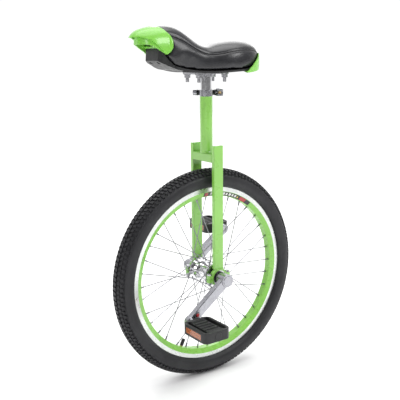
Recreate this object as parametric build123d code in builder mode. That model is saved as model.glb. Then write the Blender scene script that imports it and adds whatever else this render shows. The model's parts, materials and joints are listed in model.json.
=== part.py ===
"""Twenty-inch unicycle, in millimetres.

+X is forward, +Y is the rider's left and +Z is up. The origin lies on the ground under the axle.
"""
import math
import os

from build123d import *

# ---- wheel -------------------------------------------------------------------------------------
tyre_width = 50.0
tyre_wall = 2.8
tread_depth = 4.0
bead_seat_radius = 203.0
tyre_height = 50.0  # bead seat to tread
rim_lip = 6.5  # how far the rim's edge stands out from the bead seat
rim_width = 28.0
rim_wall = 1.8
brake_band = 10.0  # height of the flat side of the rim
rim_depth = 15.0  # bead seat to the inner edge of the rim
rim_inner_width = 17.0
spoke_count = 36
spoke_crossings = 3
spoke_diameter = 2.0
nipple_diameter = 3.9
nipple_length = 11.0
valve_angle = -65.0  # degrees from +X towards +Z
valve_diameter = 6.0
valve_length = 27.6  # from the rim bed inwards

# ---- hub, bearings and cranks ------------------------------------------------------------------
axle_diameter = 17.0
axle_square = 12.7
axle_length = 146.0
flange_radius = 30.0
flange_thickness = 3.2
flange_spacing = 62.0
flange_hole_circle = 27.0  # radius
hub_body_radius = 17.0
bearing_diameter = 35.0
bearing_width = 10.0
bearing_spacing = 88.0
ball_diameter = 5.4
balls_per_bearing = 9
crank_length = 127.0  # axle to pedal axis
crank_angle = -38.0  # left crank, degrees from +X towards +Z
crank_boss_radius = 15.0
crank_boss_length = 24.0
crank_eye_radius = 12.5
crank_thickness = 13.0
crank_gap = 8.0  # bearing face to crank boss

# ---- pedals ------------------------------------------------------------------------------------
pedal_length = 70.0  # fore and aft
pedal_width = 88.0
pedal_height = 24.0
pedal_core = 38.0  # fore and aft width of the tread block
pedal_rail = 7.0
pedal_end_wall = 7.0
pedal_corner = 14.0
spindle_diameter = 10.0
reflector_length = 56.0
reflector_height = 13.0

# ---- fork --------------------------------------------------------------------------------------
leg_depth = 25.0  # fore and aft
leg_width = 11.0
leg_gap = 73.0  # between the inner faces of the legs
leg_wall = 1.8
leg_rise = 37.0  # the legs above the underside of the crown
tyre_clearance = 17.0  # tread to crown
crown_height = 19.0
neck_diameter = 28.6
neck_length = 127.0
holder_wall = 4.5
holder_ear = 13.5  # how far each ear stands out from the bearing
ear_height = 8.5
ear_split = 1.0  # gap between a holder and its cap

# ---- seat post and clamp -----------------------------------------------------------------------
post_diameter = 25.4
post_wall = 2.0
post_inside = 121.0  # length of post inside the neck
clamp_height = 14.0
clamp_turn = 144.5  # degrees, from +X to the lever end of the skewer
lug_width = 28.0
lug_reach = 28.0
skewer_diameter = 5.0
skewer_offset = 21.0  # from the post's axis
lever_pivot_reach = 30.0
lever_length = 52.0

# ---- saddle ------------------------------------------------------------------------------------
plate_length = 92.0
plate_width = 60.0
plate_thickness = 4.0
post_showing = 35.0  # between the clamp and the saddle plate
bolt_spacing_x = 70.0
bolt_spacing_y = 45.0
saddle_bolt_diameter = 8.0
base_thickness = 4.0
base_arch = 8.0
bumper_wall = 4.0

# ---- clearances --------------------------------------------------------------------------------
running_fit = 0.05  # radial, shafts and slides that move
assembly_gap = 0.1  # pieces of one assembly that don't move on each other
soft_gap = 0.3  # beside curved and soft pieces

wheel_radius = bead_seat_radius + tyre_height
rim_edge_radius = bead_seat_radius + rim_lip
rim_inner_radius = bead_seat_radius - rim_depth
crown_bottom = 2 * wheel_radius + tyre_clearance
leg_top = crown_bottom + leg_rise
neck_top = crown_bottom + crown_height + neck_length
plate_top = neck_top + clamp_height + post_showing + plate_thickness
axle_height = wheel_radius
axle_line = Axis((0, 0, axle_height), (0, 1, 0))
wheel_section = Plane.XY.offset(axle_height)  # x is the radius and y runs along the axle
os.makedirs("parts", exist_ok=True)


def save(builder, name):
    """Label a finished piece and write its STEP file."""
    builder.part.label = name
    export_step(builder.part, f"parts/{name}.step")


def save_group(pieces, name):
    """Write several separate pieces of one kind as one node."""
    group = Compound(label=name, children=pieces)
    export_step(group, f"parts/{name}.step")


def rod(plane, radius, length):
    """Private round bar that starts on a plane and runs along its normal."""
    bar = Cylinder(radius, length, align=(Align.CENTER, Align.CENTER, Align.MIN), mode=Mode.PRIVATE)
    return plane.location * bar


def on_wheel(radius, angle, y):
    """Point at a radius and angle (degrees) about the axle."""
    turn = math.radians(angle)
    return Vector(radius * math.cos(turn), y, axle_height + radius * math.sin(turn))


# =================================================================================================
# Wheel
# =================================================================================================
casing_centre = wheel_radius - tyre_width / 2 - 1.0
casing_radius = tyre_width / 2
flange_inside = rim_width / 2 - rim_wall
bead_width = 5.0
bead_out = flange_inside - assembly_gap
bead_in = bead_out - bead_width
bead_foot = bead_seat_radius + assembly_gap

bead_heel = (bead_foot + 5.5, bead_in + 1.0)

with BuildPart() as tyre:
    with BuildSketch(wheel_section):
        with BuildLine():
            wall = CenterArc((casing_centre, 0), casing_radius, start_angle=45, arc_size=83)
            tread = TangentArc((wheel_radius, 0), wall @ 0, tangent=(0, 1))
            Polyline(
                wall @ 1,
                (rim_edge_radius + assembly_gap, flange_inside + 0.8),
                (rim_edge_radius + assembly_gap, bead_out),
                (bead_foot, bead_out),
                (bead_foot, bead_in),
                bead_heel,
            )
            inside = CenterArc((casing_centre, 0), casing_radius - tyre_wall, start_angle=125, arc_size=-125)
            Line(bead_heel, inside @ 0)
            Line(inside @ 1, tread @ 0)
        make_face()
        mirror(about=Plane.XZ)
    revolve(axis=axle_line)
save(tyre, "tyre")

tube_radius = casing_radius - tyre_wall - 2.7
tube_centre = casing_centre + 0.5
tube_inside = tube_centre - tube_radius
with BuildPart() as inner_tube:
    with BuildSketch(wheel_section):
        with Locations((tube_centre, 0)):
            Circle(tube_radius)
            Circle(tube_radius - 1.2, mode=Mode.SUBTRACT)
    revolve(axis=axle_line)
save(inner_tube, "inner_tube")

bed_radius = bead_seat_radius - 1.5
bed_wall = 1.5
inner_wall = 1.6
shelf_in = flange_inside - bead_width - 0.4
box_top = rim_edge_radius - brake_band

nipple_seat = rim_inner_radius + inner_wall
nipple_offset = 2.0  # nipples lean to their own side of the rim
hole_step = 360 / spoke_count


def lace(side):
    """Hub and rim ends of one flange's spokes: (hub angle, rim angle, outside the flange)."""
    holes = spoke_count // 2
    spread = spoke_crossings * 360 / holes
    start = 0 if side > 0 else hole_step
    ends = []
    for number in range(holes):
        leading = number % 2 == (0 if side > 0 else 1)
        hub_angle = start + number * 360 / holes
        rim_angle = hub_angle + (spread if leading else -spread)
        ends.append((hub_angle, rim_angle, leading))
    return ends


def stand_off(outside):
    """Distance from the middle of a flange to a spoke's elbow; outer spokes clear the flange's edge."""
    return (flange_thickness + spoke_diameter) / 2 + assembly_gap + (0.4 if outside else 0)


def spoke_ends(side, hub_angle, rim_angle, outside):
    """Elbow at the flange and seat at the rim."""
    elbow_y = side * (flange_spacing / 2 + stand_off(outside) * (1 if outside else -1))
    elbow = on_wheel(flange_hole_circle, hub_angle, elbow_y)
    seat = on_wheel(nipple_seat, rim_angle, side * nipple_offset)
    return elbow, seat


all_spokes = [(side, *ends) for side in (1, -1) for ends in lace(side)]
nipple_places = []
for each in all_spokes:
    elbow, seat = spoke_ends(*each)
    nipple_places.append(Plane(origin=seat, z_dir=seat - elbow))

valve_plane = Plane(
    origin=on_wheel(bed_radius, valve_angle, 0),
    z_dir=on_wheel(0, valve_angle, 0) - on_wheel(1, valve_angle, 0),
)

with BuildPart() as rim:
    with BuildSketch(wheel_section):
        with BuildLine():
            Polyline(
                (rim_inner_radius, 0),
                (rim_inner_radius, rim_inner_width / 2),
                (box_top, rim_width / 2),
                (rim_edge_radius, rim_width / 2),
                (rim_edge_radius, flange_inside),
                (bead_seat_radius, flange_inside),
                (bead_seat_radius, shelf_in),
                (bed_radius, shelf_in),
                (bed_radius, 0),
                close=True,
            )
        make_face()
        with BuildLine():
            Polyline(
                (nipple_seat, 0),
                (nipple_seat, rim_inner_width / 2 - 1.0),
                (box_top - 0.4, flange_inside),
                (bed_radius - bed_wall, flange_inside),
                (bed_radius - bed_wall, 0),
                close=True,
            )
        make_face(mode=Mode.SUBTRACT)
        mirror(about=Plane.XZ)
    revolve(axis=axle_line)
    with Locations(*[place.location for place in nipple_places]):
        Cylinder(nipple_diameter / 2 + 0.3, 10, mode=Mode.SUBTRACT)
    with Locations(*[Plane(origin=place.origin + place.z_dir * 11, z_dir=place.z_dir).location
                     for place in nipple_places]):
        Cylinder(4.2, 6, mode=Mode.SUBTRACT)
    with Locations(valve_plane.location):
        Cylinder(valve_diameter / 2 + 0.3, 60, mode=Mode.SUBTRACT)
save(rim, "rim")

tape_thickness = 0.8
with BuildPart() as rim_tape:
    with BuildSketch(wheel_section):
        with Locations((bed_radius + assembly_gap + tape_thickness / 2, 0)):
            Rectangle(tape_thickness, 2 * shelf_in - 0.4)
    revolve(axis=axle_line)
    with Locations(valve_plane.location):
        Cylinder(valve_diameter / 2 + 0.3, 10, mode=Mode.SUBTRACT)
save(rim_tape, "rim_tape")

with BuildPart() as nipple:
    Cylinder(nipple_diameter / 2, nipple_length, align=(Align.CENTER, Align.CENTER, Align.MAX))
    Cylinder(nipple_diameter / 2, 1.2, align=(Align.CENTER, Align.CENTER, Align.MIN))
    with Locations((0, 0, 0.9)):
        Cylinder(2.9, 2.3, align=(Align.CENTER, Align.CENTER, Align.MIN))
    Cylinder(spoke_diameter / 2 + running_fit, 40, mode=Mode.SUBTRACT)
save_group([place.location * nipple.part for place in nipple_places], "spoke_nipples")


def spoke(side, hub_angle, rim_angle, outside):
    """One spoke: shank, bent neck through the flange and flat head."""
    elbow, seat = spoke_ends(side, hub_angle, rim_angle, outside)
    inward = Vector(0, -side if outside else side, 0)
    through = stand_off(outside) + flange_thickness / 2 + assembly_gap
    with BuildPart() as piece:
        add(rod(Plane(origin=elbow, z_dir=seat - elbow), spoke_diameter / 2, (seat - elbow).length + 1.5))
        add(rod(Plane(origin=elbow, z_dir=inward), spoke_diameter / 2, through))
        add(rod(Plane(origin=elbow + inward * through, z_dir=inward), 1.9, 0.9))
        with Locations(elbow):
            Sphere(spoke_diameter / 2)
    return piece.part


save_group([spoke(1, *ends) for ends in lace(1)], "left_spokes")
save_group([spoke(-1, *ends) for ends in lace(-1)], "right_spokes")

valve_root = Plane(
    origin=on_wheel(tube_inside - assembly_gap, valve_angle, 0),
    z_dir=valve_plane.z_dir,
)
root_height = tube_inside - bed_radius - tape_thickness - 1.0
stem_length = tube_inside - assembly_gap - bed_radius + valve_length
cap_start = stem_length - 12.0
with BuildPart() as valve_stem:
    add(rod(valve_root, 6.0, root_height))
    add(rod(valve_root, valve_diameter / 2, stem_length))
    add(rod(valve_root, 1.2, stem_length), mode=Mode.SUBTRACT)
save(valve_stem, "valve_stem")

with BuildPart() as valve_cap:
    cap_plane = Plane(origin=valve_root.from_local_coords((0, 0, cap_start)), z_dir=valve_plane.z_dir)
    add(rod(cap_plane, 4.3, 17.0))
    fillet(valve_cap.edges().filter_by(GeomType.CIRCLE), 0.8)
    add(rod(cap_plane, valve_diameter / 2 + running_fit, 12.3), mode=Mode.SUBTRACT)
save(valve_cap, "valve_cap")

# =================================================================================================
# Hub, axle and bearings
# =================================================================================================
flange_face = (flange_spacing + flange_thickness) / 2
bearing_inside = (bearing_spacing - bearing_width) / 2
bearing_outside = bearing_inside + bearing_width
axle_radius = axle_diameter / 2
hub_bore = axle_radius + 0.03
hub_cavity = 14.5

with BuildPart() as hub_shell:
    with BuildSketch(wheel_section):
        with BuildLine():
            Polyline(
                (hub_cavity, 0),
                (hub_body_radius, 0),
                (hub_body_radius, flange_face - 9.0),
                (hub_body_radius + 4.0, flange_face - flange_thickness),
                (flange_radius, flange_face - flange_thickness),
                (flange_radius, flange_face - 1.3),
                (flange_radius - 2.2, flange_face),
                (12.5, flange_face),
                (11.5, bearing_inside - 0.3),
                (hub_bore, bearing_inside - 0.3),
                (hub_bore, flange_face - 9.0),
                (hub_cavity, flange_face - 9.0),
                close=True,
            )
        make_face()
        mirror(about=Plane.XZ)
    revolve(axis=axle_line)
    for side in (1, -1):
        for hub_angle, _, _ in lace(side):
            hole = Plane(origin=on_wheel(flange_hole_circle, hub_angle, side * (flange_face + 1)),
                         z_dir=(0, -side, 0))
            add(rod(hole, spoke_diameter / 2 + 0.3, flange_thickness + 3), mode=Mode.SUBTRACT)
save(hub_shell, "hub_shell")

square_start = bearing_outside + 2.5


def crank_plane(side, outward, along=0.0):
    """Plane square to the axle, x along the crank and z outwards from the wheel."""
    turn = math.radians(crank_angle)
    way = Vector(side * math.cos(turn), 0, side * math.sin(turn))
    origin = Vector(0, side * outward, axle_height) + way * along
    return Plane(origin=origin, x_dir=way, z_dir=(0, side, 0))


with BuildPart() as axle:
    with BuildSketch(crank_plane(1, -square_start)):
        Circle(axle_radius)
    extrude(amount=2 * square_start)
    with BuildSketch(crank_plane(1, -axle_length / 2)):
        Rectangle(axle_square, axle_square)
        Circle(axle_radius, mode=Mode.INTERSECT)
    extrude(amount=axle_length)
    for side in (1, -1):
        tapped = Plane(origin=(0, side * axle_length / 2, axle_height), z_dir=(0, -side, 0))
        add(rod(tapped, 4.0 + running_fit, 24.0), mode=Mode.SUBTRACT)
save(axle, "axle")

bearing_centre = (axle_radius + bearing_diameter / 2) / 2


def bearing_plane(side):
    """Middle of one bearing: x is the radius and y runs outwards along the axle."""
    return Plane(origin=(0, side * bearing_spacing / 2, axle_height), x_dir=(1, 0, 0), z_dir=(0, 0, side))


def race(side, inside, outside):
    """Bearing ring with its ball groove."""
    with BuildPart() as ring:
        with BuildSketch(bearing_plane(side)):
            with Locations(((inside + outside) / 2, 0)):
                Rectangle(outside - inside, bearing_width)
            with Locations((bearing_centre, 0)):
                Circle(ball_diameter / 2 + running_fit, mode=Mode.SUBTRACT)
        revolve(axis=axle_line)
    return ring.part


inner_race_top = bearing_centre - 2.1
outer_race_bottom = bearing_centre + 2.1
save_group([race(side, axle_radius + 0.02, inner_race_top) for side in (1, -1)], "bearing_inner_rings")
save_group([race(side, outer_race_bottom, bearing_diameter / 2) for side in (1, -1)], "bearing_outer_rings")

balls = []
for side in (1, -1):
    for number in range(balls_per_bearing):
        spot = on_wheel(bearing_centre, number * 360 / balls_per_bearing, side * bearing_spacing / 2)
        with BuildPart() as ball:
            with Locations(spot):
                Sphere(ball_diameter / 2)
        balls.append(ball.part)
save_group(balls, "bearing_balls")

seals = []
for side in (1, -1):
    for face in (1, -1):
        offset = side * bearing_spacing / 2 + face * (bearing_width / 2 - 0.5)
        with BuildPart() as seal:
            with BuildSketch(Plane(origin=(0, offset, axle_height), x_dir=(1, 0, 0), z_dir=(0, 1, 0))):
                Circle(outer_race_bottom - 0.02)
                Circle(inner_race_top + 0.15, mode=Mode.SUBTRACT)
            extrude(amount=0.5, both=True)
        seals.append(seal.part)
save_group(seals, "bearing_seals")

# =================================================================================================
# Cranks
# =================================================================================================
boss_start = bearing_outside + crank_gap
boss_end = boss_start + crank_boss_length
arm_start = boss_start + 9.0
cap_recess = boss_end - axle_length / 2 - 1.0
bolt_seat = axle_length / 2 + 1.0


def crank(side):
    """Crank arm with its square-bored boss and its pedal eye."""
    with BuildPart() as arm:
        with BuildSketch(crank_plane(side, arm_start)):
            Circle(crank_boss_radius - 1.0)
            with Locations((crank_length, 0)):
                Circle(crank_eye_radius)
            with BuildLine():
                Polyline((0, 12.5), (crank_length, 10.5), (crank_length, -10.5), (0, -12.5), close=True)
            make_face()
        extrude(amount=crank_thickness)
        outer_rim = arm.faces().sort_by(Axis.Y)[-1 if side > 0 else 0]
        chamfer(outer_rim.edges(), 1.6)
        with BuildSketch(crank_plane(side, boss_start)):
            Circle(crank_boss_radius)
        extrude(amount=crank_boss_length)
        with BuildSketch(crank_plane(side, boss_start)):
            Rectangle(axle_square + 0.06, axle_square + 0.06)
        extrude(amount=crank_boss_length, mode=Mode.SUBTRACT)
        with BuildSketch(crank_plane(side, bolt_seat)):
            Circle(11.0)
        extrude(amount=crank_boss_length, mode=Mode.SUBTRACT)
        with BuildSketch(crank_plane(side, arm_start, crank_length)):
            Circle(7.0 + running_fit)
        extrude(amount=crank_thickness, mode=Mode.SUBTRACT)
    return arm.part


def washer_face_bolt(side):
    """Crank bolt: hexagon head with a wide flange and a shank in the axle."""
    with BuildPart() as bolt:
        with BuildSketch(crank_plane(side, bolt_seat + 0.02)):
            Circle(10.0)
        extrude(amount=1.5)
        with BuildSketch(crank_plane(side, bolt_seat + 1.5)):
            RegularPolygon(7.0, 6, major_radius=False)
        extrude(amount=cap_recess - 4.5)
        with BuildSketch(crank_plane(side, bolt_seat + 0.02)):
            Circle(4.0)
        extrude(amount=-20.0)
    return bolt.part


def crank_cap(side):
    """Dust cap over the crank bolt."""
    with BuildPart() as cap:
        with BuildSketch(crank_plane(side, boss_end - 2.5)):
            Circle(11.0 - running_fit)
        extrude(amount=2.5)
        with BuildSketch(crank_plane(side, boss_end)):
            Circle(11.8)
        extrude(amount=1.2)
        outer_rim = cap.faces().sort_by(Axis.Y)[-1 if side > 0 else 0]
        fillet(outer_rim.edges(), 0.9)
    return cap.part


for side, hand in ((1, "left"), (-1, "right")):
    arm = crank(side)
    arm.label = f"{hand}_crank"
    export_step(arm, f"parts/{hand}_crank.step")
save_group([washer_face_bolt(side) for side in (1, -1)], "crank_bolts")
save_group([crank_cap(side) for side in (1, -1)], "crank_caps")

# =================================================================================================
# Pedals
# =================================================================================================
arm_end = arm_start + crank_thickness
pedal_start = arm_end + 12.0
pedal_end = pedal_start + pedal_width
spindle_end = pedal_end - 8.0


def pedal_plane(side, outward):
    """Plane square to the pedal's axis, x forward and z outwards from the wheel."""
    origin = crank_plane(side, outward, crank_length).origin
    return Plane(origin=origin, x_dir=(1, 0, 0), z_dir=(0, side, 0))


def pedal_top(side, height):
    """Level plane over a pedal, x forward and y to the rider's left, at the pedal's middle."""
    middle = crank_plane(side, (pedal_start + pedal_end) / 2, crank_length).origin
    return Plane(origin=middle + Vector(0, 0, height), x_dir=(1, 0, 0), z_dir=(0, 0, 1))


def spindle(side):
    """Pedal spindle: threaded end, wrench flats, shoulder and stepped shaft."""
    steps = ((arm_start + 1.0, arm_end + 0.2, 7.0), (arm_end + 0.2, arm_end + 3.0, 9.5),
             (arm_end + 3.0, pedal_start + 4.0, 7.5), (pedal_start + 4.0, spindle_end, spindle_diameter / 2),
             (spindle_end, spindle_end + 2.0, 3.0))
    with BuildPart() as shaft:
        for start, end, radius in steps:
            with BuildSketch(pedal_plane(side, start)):
                Circle(radius)
            extrude(amount=end - start)
    return shaft.part


def pedal_body(side):
    """Moulded pedal: tread block on a barrel, two rails for the reflectors and two end walls."""
    half_length = pedal_length / 2
    rail_middle = half_length - pedal_rail / 2
    with BuildPart() as body:
        with BuildSketch(pedal_top(side, -pedal_height / 2)):
            RectangleRounded(pedal_length, pedal_width, pedal_corner)
            for end in (1, -1):
                with Locations((end * (half_length + pedal_core / 2) / 2 - end * pedal_rail / 2, 0)):
                    Rectangle(half_length - pedal_core / 2 - pedal_rail, pedal_width - 2 * pedal_end_wall,
                              mode=Mode.SUBTRACT)
        extrude(amount=pedal_height)
        fillet(body.edges().filter_by(Axis.Y), 1.0)
        for face in (1, -1):
            with BuildSketch(pedal_top(side, face * pedal_height / 2)):
                Rectangle(pedal_core + 0.01, pedal_width - 2 * pedal_end_wall - 6.0)
            extrude(amount=-face * 2.0, mode=Mode.SUBTRACT)
            ribs = 6
            pitch = (pedal_width - 2 * pedal_end_wall - 12.0) / (ribs - 1)
            with BuildSketch(pedal_top(side, face * (pedal_height / 2 - 2.0))):
                with GridLocations(0, pitch, 1, ribs):
                    Rectangle(pedal_core - 4.0, 3.0)
            extrude(amount=face * 1.6)
        for end in (1, -1):
            recess = pedal_top(side, -reflector_height / 2)
            with BuildSketch(recess):
                with Locations((end * (half_length - 1.5), 0)):
                    Rectangle(3.0 + 0.01, reflector_length + 2 * assembly_gap)
            extrude(amount=reflector_height, mode=Mode.SUBTRACT)
        with BuildSketch(pedal_plane(side, pedal_start - 1.0)):
            Circle(spindle_diameter / 2 + 2.0 + running_fit)
        extrude(amount=pedal_width + 2.0, mode=Mode.SUBTRACT)
        with BuildSketch(pedal_plane(side, pedal_start - 1.0)):
            Circle(7.5 + 0.6)
        extrude(amount=6.0, mode=Mode.SUBTRACT)
        with BuildSketch(pedal_plane(side, pedal_end - 5.0)):
            Circle(9.0)
        extrude(amount=6.0, mode=Mode.SUBTRACT)
    return body.part


def pedal_bush(side, start):
    """Sleeve between the spindle and the pedal body."""
    with BuildPart() as bush:
        with BuildSketch(pedal_plane(side, start)):
            Circle(spindle_diameter / 2 + 2.0)
            Circle(spindle_diameter / 2 + running_fit, mode=Mode.SUBTRACT)
        extrude(amount=14.0)
    return bush.part


def end_cap(side):
    """Cap that closes the outer end of a pedal's barrel."""
    with BuildPart() as cap:
        with BuildSketch(pedal_plane(side, pedal_end - 4.9)):
            Circle(9.0 - running_fit)
        extrude(amount=5.6)
        outer_rim = cap.faces().sort_by(Axis.Y)[-1 if side > 0 else 0]
        fillet(outer_rim.edges(), 1.0)
    return cap.part


def reflector(side, end):
    """Reflector let into a pedal's front or rear rail."""
    with BuildPart() as lens:
        with BuildSketch(pedal_top(side, -reflector_height / 2 + assembly_gap)):
            with Locations((end * (pedal_length / 2 - 1.4), 0)):
                Rectangle(2.8, reflector_length)
        extrude(amount=reflector_height - 2 * assembly_gap)
    return lens.part


for side, hand in ((1, "left"), (-1, "right")):
    body = pedal_body(side)
    body.label = f"{hand}_pedal_body"
    export_step(body, f"parts/{hand}_pedal_body.step")
    cap = end_cap(side)
    cap.label = f"{hand}_pedal_cap"
    export_step(cap, f"parts/{hand}_pedal_cap.step")
    save_group([reflector(side, end) for end in (1, -1)], f"{hand}_pedal_reflectors")
    save_group([pedal_bush(side, start) for start in (pedal_start + 6.0, pedal_end - 22.0)],
               f"{hand}_pedal_bushes")
save_group([spindle(side) for side in (1, -1)], "pedal_spindles")

# =================================================================================================
# Fork: legs, crown, neck and bearing holders
# =================================================================================================
leg_middle = (leg_gap + leg_width) / 2
holder_width = bearing_width + 1.0
holder_radius = bearing_diameter / 2 + holder_wall
ear_reach = bearing_diameter / 2 + holder_ear
bolt_reach = ear_reach - 5.2
leg_bottom = axle_height + holder_radius
holder_bore = bearing_diameter / 2 + 0.02


def leg(side):
    """Flat rectangular tube from the bearing holder to above the crown."""
    with BuildPart() as tube:
        with BuildSketch(Plane.XY.offset(leg_bottom)):
            with Locations((0, side * leg_middle)):
                RectangleRounded(leg_depth, leg_width, 2.0)
                Rectangle(leg_depth - 2 * leg_wall, leg_width - 2 * leg_wall, mode=Mode.SUBTRACT)
        extrude(amount=leg_top - leg_bottom)
    return tube.part


def leg_plug(side):
    """Push-in plug that closes the top of a leg."""
    with BuildPart() as plug:
        with BuildSketch(Plane.XY.offset(leg_top)):
            with Locations((0, side * leg_middle)):
                RectangleRounded(leg_depth, leg_width, 2.0)
        extrude(amount=1.6)
        fillet(plug.faces().sort_by(Axis.Z)[-1].edges(), 0.7)
        with BuildSketch(Plane.XY.offset(leg_top)):
            with Locations((0, side * leg_middle)):
                Rectangle(leg_depth - 2 * leg_wall - 0.2, leg_width - 2 * leg_wall - 0.2)
        extrude(amount=-12.0)
    return plug.part


def holder(side, upper):
    """Half of a split bearing holder: half ring with a bolt ear at each end."""
    way = 1 if upper else -1
    with BuildPart() as half:
        with BuildSketch(Plane(origin=(0, side * bearing_spacing / 2, axle_height),
                               x_dir=(1, 0, 0), z_dir=(0, -1, 0))):
            Circle(holder_radius)
            with Locations((0, way * ear_height / 2)):
                Rectangle(2 * ear_reach, ear_height)
            if upper:
                with Locations((0, (leg_bottom - axle_height) / 2)):
                    Rectangle(leg_depth, leg_bottom - axle_height)
            Circle(holder_bore, mode=Mode.SUBTRACT)
            with Locations((0, -way * (holder_radius - ear_split / 2))):
                Rectangle(3 * ear_reach, 2 * holder_radius, mode=Mode.SUBTRACT)
        extrude(amount=holder_width / 2, both=True)
        fillet(half.edges().filter_by(Axis.Z), 2.5)
        for end in (1, -1):
            with BuildSketch(Plane.XY.offset(axle_height - 20)):
                with Locations((end * bolt_reach, side * bearing_spacing / 2)):
                    Circle(3.2)
            extrude(amount=40, mode=Mode.SUBTRACT)
    return half.part


def holder_bolt(side, end):
    """Hexagon bolt that pulls a bearing cap up to its holder, head on top."""
    spot = (end * bolt_reach, side * bearing_spacing / 2)
    with BuildPart() as bolt:
        with BuildSketch(Plane.XY.offset(axle_height + ear_height)):
            with Locations(spot):
                RegularPolygon(4.9, 6, major_radius=False, rotation=30)
        extrude(amount=4.0)
        with BuildSketch(Plane.XY.offset(axle_height + ear_height)):
            with Locations(spot):
                Circle(3.0)
        extrude(amount=-(2 * ear_height + 8.0))
    return bolt.part


def holder_nut(side, end):
    """Nut under a bearing cap."""
    spot = (end * bolt_reach, side * bearing_spacing / 2)
    with BuildPart() as nut:
        with BuildSketch(Plane.XY.offset(axle_height - ear_height)):
            with Locations(spot):
                RegularPolygon(4.9, 6, major_radius=False, rotation=30)
                Circle(3.0 + running_fit, mode=Mode.SUBTRACT)
        extrude(amount=-5.0)
    return nut.part


for side, hand in ((1, "left"), (-1, "right")):
    for make, noun in ((leg, "leg"), (lambda s: holder(s, True), "bearing_holder"),
                       (lambda s: holder(s, False), "bearing_cap")):
        piece = make(side)
        piece.label = f"{hand}_{noun}"
        export_step(piece, f"parts/{hand}_{noun}.step")
save_group([leg_plug(side) for side in (1, -1)], "leg_plugs")
save_group([holder_bolt(side, end) for side in (1, -1) for end in (1, -1)], "bearing_cap_bolts")
save_group([holder_nut(side, end) for side in (1, -1) for end in (1, -1)], "bearing_cap_nuts")

crown_top = crown_bottom + crown_height
with BuildPart() as crown_bar:
    with BuildSketch(Plane.XZ.offset(-leg_gap / 2)):
        with Locations((0, crown_bottom + crown_height / 2)):
            RectangleRounded(leg_depth, crown_height, 2.0)
            Rectangle(leg_depth - 2 * leg_wall, crown_height - 2 * leg_wall, mode=Mode.SUBTRACT)
    extrude(amount=leg_gap)
save(crown_bar, "crown_bar")

post_radius = post_diameter / 2
neck_bore = post_radius + running_fit
with BuildPart() as neck_tube:
    with BuildSketch(Plane.XY.offset(crown_top)):
        Circle(neck_diameter / 2)
        Circle(neck_bore, mode=Mode.SUBTRACT)
    extrude(amount=neck_top - crown_top)
save(neck_tube, "neck_tube")

with BuildPart() as neck_weld:
    with BuildSketch(Plane.XZ):
        with BuildLine():
            Polyline(
                (neck_diameter / 2 + 0.02, crown_top + 0.02),
                (neck_diameter / 2 + 2.0, crown_top + 0.02),
                (neck_diameter / 2 + 0.02, crown_top + 4.5),
                close=True,
            )
        make_face()
    revolve(axis=Axis.Z)
    with Locations((0, 0, crown_top)):
        Box(leg_depth - 2.0, 3 * neck_diameter, 20, mode=Mode.INTERSECT)
save(neck_weld, "neck_weld")

# =================================================================================================
# Seat clamp with its quick-release skewer
# =================================================================================================
turn = math.radians(clamp_turn)
skewer_way = Vector(math.cos(turn), math.sin(turn), 0)
clamp_plane = Plane(origin=(0, 0, neck_top), x_dir=skewer_way, z_dir=(0, 0, 1))
skewer_height = clamp_height / 2
lug_half = lug_width / 2
washer_reach = 7.0


def skewer_plane(along):
    """Plane square to the skewer, its normal towards the lever."""
    origin = clamp_plane.from_local_coords((along, skewer_offset, skewer_height))
    return Plane(origin=origin, x_dir=(0, 0, 1), z_dir=skewer_way)


with BuildPart() as seat_clamp:
    with BuildSketch(clamp_plane):
        Circle(neck_diameter / 2 + 0.3)
        with Locations((0, lug_reach / 2 + 2.0)):
            RectangleRounded(lug_width, lug_reach - 4.0, 3.0)
        Circle(neck_bore, mode=Mode.SUBTRACT)
        with Locations((0, lug_reach / 2 + 6.0)):
            Rectangle(2.5, lug_reach, mode=Mode.SUBTRACT)
    extrude(amount=clamp_height)
    add(rod(skewer_plane(-lug_width), skewer_diameter / 2 + 0.15, 2 * lug_width), mode=Mode.SUBTRACT)
save(seat_clamp, "seat_clamp")

nut_start = lug_half + washer_reach + assembly_gap
barrel_radius = 4.5
with BuildPart() as clamp_skewer:
    add(rod(skewer_plane(-nut_start - 9.5), skewer_diameter / 2, nut_start + 9.5 + lever_pivot_reach))
save(clamp_skewer, "clamp_skewer")

lever_axis = clamp_plane.from_local_coords((lever_pivot_reach, skewer_offset, 0))
with BuildPart() as lever_pivot:
    with BuildSketch(Plane(origin=lever_axis + Vector(0, 0, 0.5), x_dir=skewer_way, z_dir=(0, 0, 1))):
        Circle(barrel_radius)
    extrude(amount=clamp_height - 1.0)
    add(rod(skewer_plane(lever_pivot_reach - 9.0), skewer_diameter / 2 + 0.02, 9.02), mode=Mode.SUBTRACT)
save(lever_pivot, "lever_pivot")

with BuildPart() as clamp_nut:
    with BuildSketch(skewer_plane(-nut_start)):
        Circle(6.2)
    extrude(amount=-9.0)
    fillet(clamp_nut.edges().filter_by(GeomType.CIRCLE), 1.0)
    add(rod(skewer_plane(-nut_start - 10.0), skewer_diameter / 2 + 0.02, 11.0), mode=Mode.SUBTRACT)
save(clamp_nut, "clamp_nut")


def clamp_washer(way):
    """Moulded washer between a lug and the nut (-1) or the lever (+1)."""
    with BuildPart() as washer:
        with BuildSketch(skewer_plane(way * (lug_half + assembly_gap / 2))):
            Circle(5.4)
        with BuildSketch(skewer_plane(way * (lug_half + washer_reach))):
            Circle(6.6)
        loft()
        add(rod(skewer_plane(-3 * lug_half), skewer_diameter / 2 + 0.15, 6 * lug_half), mode=Mode.SUBTRACT)
    return washer.part


cam_radius = lever_pivot_reach - lug_half - washer_reach - assembly_gap
save_group([clamp_washer(1), clamp_washer(-1)], "clamp_washers")

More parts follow.
